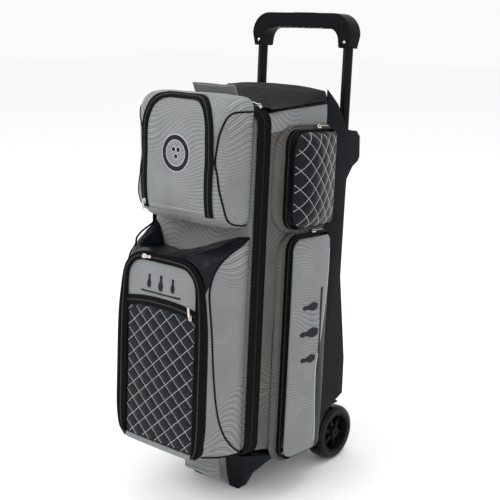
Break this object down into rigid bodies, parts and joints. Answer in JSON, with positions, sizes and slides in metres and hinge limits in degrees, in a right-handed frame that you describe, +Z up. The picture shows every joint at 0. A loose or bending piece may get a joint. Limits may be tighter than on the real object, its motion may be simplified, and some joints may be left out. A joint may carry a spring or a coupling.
{
  "type": "rolling bowling bag",
  "caption": "Upright rolling bowling bag for three balls, with telescopic handle, arched shoe compartment, zipped pockets, side pockets and inline wheels.",
  "frame": {"origin": "centre of the bounding box in X and Y, on the floor the bag stands on", "axes": "+Z up from the floor, -Y the bag front with its shoe compartment, +X the right side seen from the front; the bag itself leans back 3.66 degrees"},
  "size_m": [0.388, 0.5024, 1.0107],
  "materials": {
    "fabric_grey": "ribbed polyester with a fine horizontal pinstripe",
    "nylon_black": "zip tape and webbing",
    "vinyl_black": "smooth coated fabric, quilted with light thread",
    "mesh_black": "open mesh",
    "shell_plastic": "fine textured moulding",
    "tube_black": "gloss black coated",
    "wheel_urethane": "gloss black urethane",
    "foam": "closed-cell foam",
    "lining": "black lining over board",
    "zip_metal": "plated"
  },
  "bodies": {
    "bag": {"axle": "zip_metal", "axle_carrier": "shell_plastic", "back_cheek_left": "shell_plastic", "back_cheek_right": "shell_plastic", "back_crown": "shell_plastic", "back_keel": "shell_plastic", "back_panel": "shell_plastic", "ball_cup_lower": "foam", "ball_cup_middle": "foam", "ball_cup_upper": "foam", "base_board": "lining", "base_tray": "shell_plastic", "body_zip_tape": "nylon_black", "bottom_handle": "fabric_grey", "bottom_panel": "fabric_grey", "front_foot_left": "shell_plastic", "front_foot_right": "shell_plastic", "main_slider_side": "zip_metal", "main_slider_top": "zip_metal", "mesh_pocket": "mesh_black", "outer_tube_left": "tube_black", "outer_tube_right": "tube_black", "shelf_lower": "lining", "shelf_upper": "lining", "side_panel_left": "fabric_grey", "side_panel_right": "fabric_grey", "side_rim_lower_left": "nylon_black", "side_rim_lower_right": "nylon_black", "side_rim_upper_left": "nylon_black", "side_rim_upper_right": "nylon_black", "top_handle": "fabric_grey", "top_panel": "fabric_grey", "tube_beam": "shell_plastic", "tube_bracket_left": "shell_plastic", "tube_bracket_right": "shell_plastic", "wheel_arch_left": "shell_plastic", "wheel_arch_right": "shell_plastic"},
    "handle": {"inner_tube_left": "tube_black", "inner_tube_right": "tube_black", "grip": "shell_plastic"},
    "release_button": {"release_button": "nylon_black"},
    "wheel_left": {"tyre_left": "wheel_urethane", "hub_left": "shell_plastic"},
    "wheel_right": {"tyre_right": "wheel_urethane", "hub_right": "shell_plastic"},
    "front_door": {"door_panel": "fabric_grey", "door_zip_tape": "nylon_black", "flap_pocket_front": "fabric_grey", "flap_pocket_gusset": "fabric_grey", "flap_slider": "zip_metal", "shoe_gusset": "fabric_grey"},
    "shoe_door": {"flat_pocket_slider": "zip_metal", "shoe_door_panel": "vinyl_black", "shoe_slider": "zip_metal"},
    "accessory_flap": {"flap_panel": "fabric_grey"},
    "side_cover_upper_left": {"side_cover_upper_left": "vinyl_black"},
    "side_cover_lower_left": {"side_cover_lower_left": "fabric_grey"},
    "side_cover_upper_right": {"side_cover_upper_right": "vinyl_black"},
    "side_cover_lower_right": {"side_cover_lower_right": "fabric_grey"}
  },
  "joints": [
    {"name": "handle_slide", "type": "slide", "parent": "bag", "child": "handle", "axis": [0, 0.0638, 0.998], "range_m": [-0.165, 0]},
    {"name": "button_press", "type": "slide", "parent": "handle", "child": "release_button", "axis": [0, 0.0638, 0.998], "range_m": [-0.004, 0], "stiffness_N_per_m": 250, "springref_m": 0.002},
    {"name": "front_door_hinge", "type": "hinge", "parent": "bag", "child": "front_door", "pos_m": [-0.1422, -0.10055, 0.47411], "axis": [0, -0.0638, -0.998], "range_deg": [0, 100]},
    {"name": "shoe_door_hinge", "type": "hinge", "parent": "front_door", "child": "shoe_door", "pos_m": [0, -0.25119, 0.14005], "axis": [1, 0, 0], "range_deg": [0, 95]},
    {"name": "flap_hinge", "type": "hinge", "parent": "front_door", "child": "accessory_flap", "pos_m": [0, -0.18495, 0.62731], "axis": [1, 0, 0], "range_deg": [0, 110]},
    {"name": "wheel_spin_left", "type": "hinge", "parent": "bag", "child": "wheel_left", "pos_m": [-0.1175, 0.18682, 0.06343], "axis": [1, 0, 0], "continuous": true},
    {"name": "wheel_spin_right", "type": "hinge", "parent": "bag", "child": "wheel_right", "pos_m": [0.1175, 0.18682, 0.06343], "axis": [1, 0, 0], "continuous": true},
    {"name": "side_cover_hinge_upper_left", "type": "hinge", "parent": "bag", "child": "side_cover_upper_left", "pos_m": [-0.16, 0.12384, 0.6767], "axis": [0, -0.0638, -0.998], "range_deg": [0, 100]},
    {"name": "side_cover_hinge_lower_left", "type": "hinge", "parent": "bag", "child": "side_cover_lower_left", "pos_m": [-0.16, 0.10082, 0.31694], "axis": [0, -0.0638, -0.998], "range_deg": [0, 100]},
    {"name": "side_cover_hinge_upper_right", "type": "hinge", "parent": "bag", "child": "side_cover_upper_right", "pos_m": [0.16, 0.12384, 0.6767], "axis": [0, 0.0638, 0.998], "range_deg": [0, 100]},
    {"name": "side_cover_hinge_lower_right", "type": "hinge", "parent": "bag", "child": "side_cover_lower_right", "pos_m": [0.16, 0.10082, 0.31694], "axis": [0, 0.0638, 0.998], "range_deg": [0, 100]}
  ]
}
